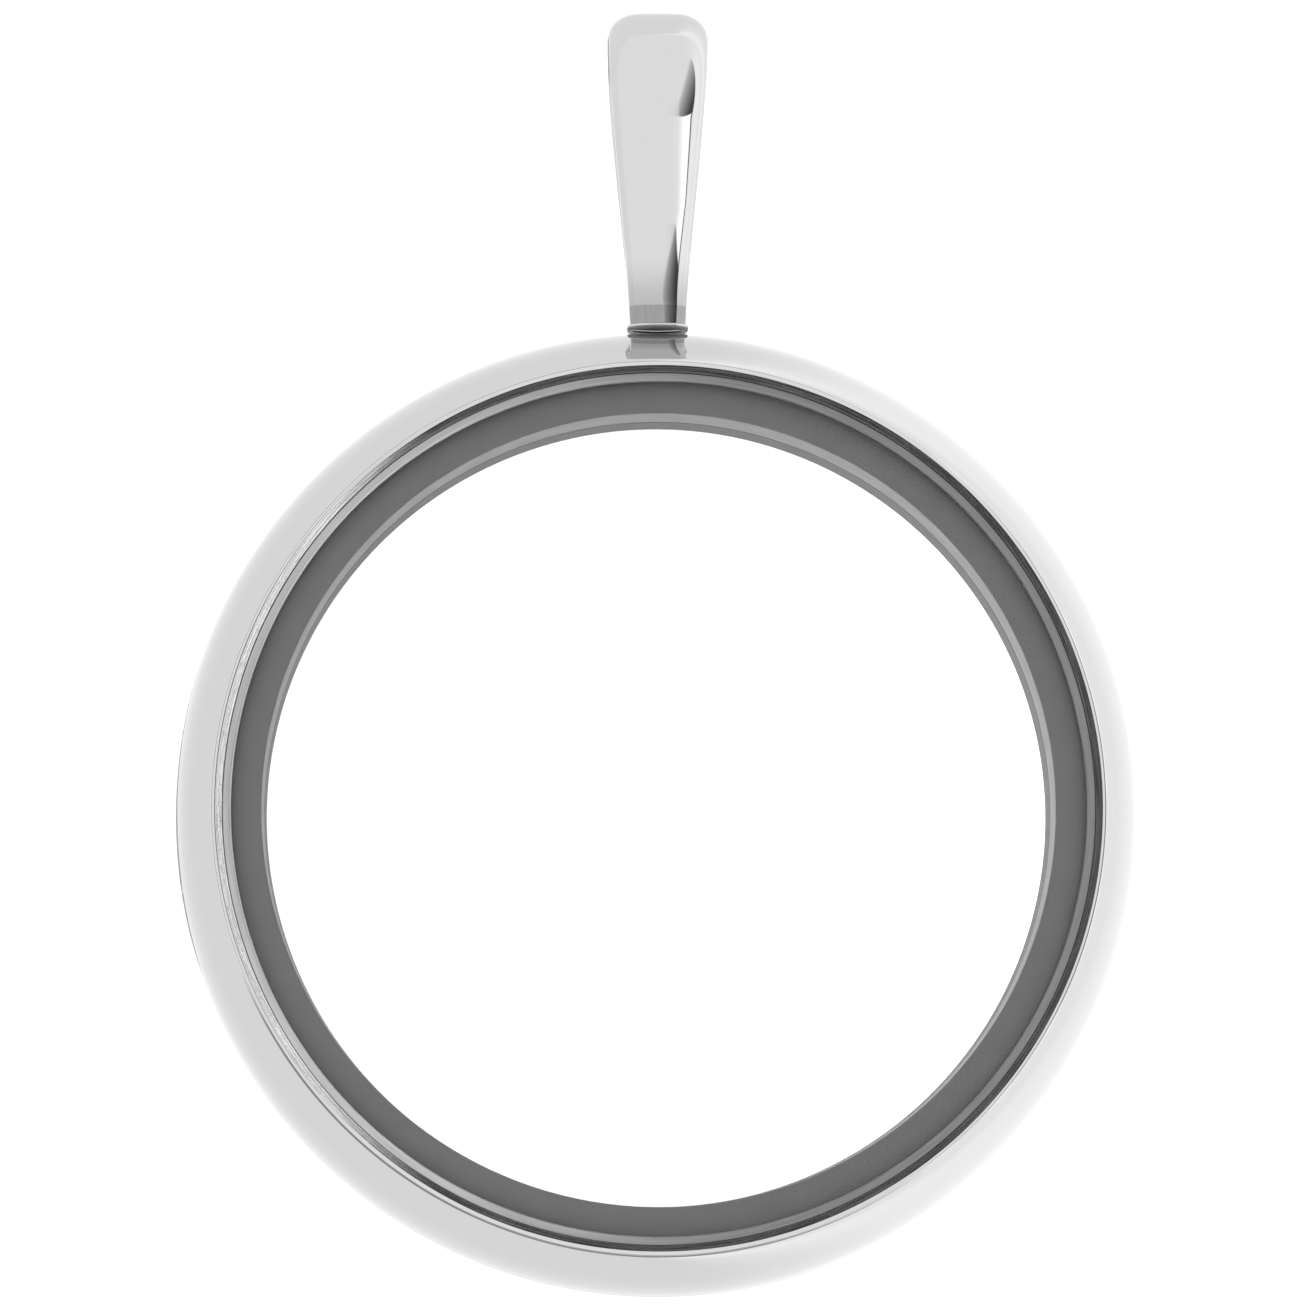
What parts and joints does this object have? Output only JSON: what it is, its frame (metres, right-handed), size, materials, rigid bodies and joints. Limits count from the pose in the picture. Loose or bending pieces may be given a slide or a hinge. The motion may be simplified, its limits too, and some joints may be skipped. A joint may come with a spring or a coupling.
{
  "type": "hinged glass locket pendant with a tapered bail",
  "caption": "Round two-window locket pendant that opens on a flush side hinge, with a domed polished rim and a long tapered bail loop.",
  "frame": {"origin": "middle of the outline, bail included, at the height of the flat back on which the locket lies", "axes": "+Z out of the locket's front, +Y from the ring to the bail, +X to the right seen from the front, hinge on the -X side"},
  "size_m": [0.03, 0.04, 0.0075],
  "materials": {
    "polished_steel": "mirror polished",
    "satin_steel": "satin",
    "clear_glass": "clear, polished"
  },
  "bodies": {
    "back": {"back_frame_with_bail": "polished_steel", "back_glass": "clear_glass", "back_glass_ring": "satin_steel", "hinge_pin": "satin_steel"},
    "front": {"front_frame": "polished_steel", "front_glass": "clear_glass", "front_glass_ring": "satin_steel"}
  },
  "joints": [
    {"name": "side_hinge", "type": "hinge", "parent": "back", "child": "front", "pos_m": [-0.014, -0.005, 0.0033], "axis": [0, -1, 0], "range_deg": [0, 100]}
  ]
}
